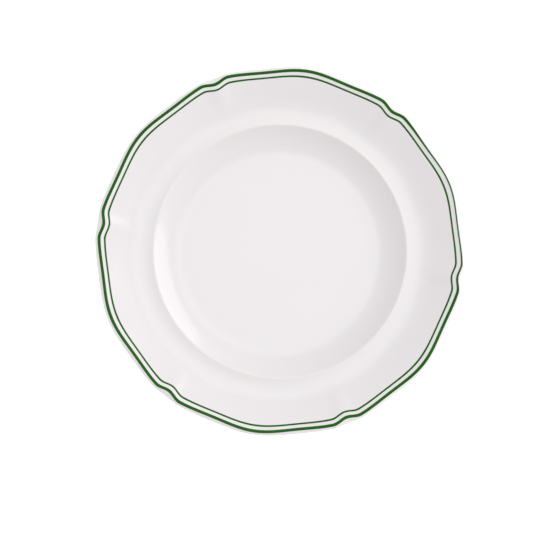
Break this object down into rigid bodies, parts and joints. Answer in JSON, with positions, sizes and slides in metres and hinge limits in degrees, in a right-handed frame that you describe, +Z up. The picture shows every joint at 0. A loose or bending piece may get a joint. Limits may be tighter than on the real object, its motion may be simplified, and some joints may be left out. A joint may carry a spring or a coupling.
{
  "type": "dinner plate",
  "caption": "Round china dinner plate with a lobed, notched rim, a sunken well, a foot ring and a painted band and line round the edge.",
  "frame": {"origin": "middle of the foot ring, on the table", "axes": "+Z up, out of the well; +X through one notch of the rim"},
  "size_m": [0.2608, 0.2614, 0.0252],
  "materials": {
    "porcelain": "bare fired porcelain, matt",
    "white_glaze": "clear glaze over white porcelain, glossy",
    "green_enamel": "painted enamel, glossy"
  },
  "bodies": {
    "root": {"porcelain_body": "porcelain", "face_glaze": "white_glaze", "base_glaze": "white_glaze", "wide_green_band": "green_enamel", "narrow_green_line": "green_enamel"}
  },
  "joints": []
}
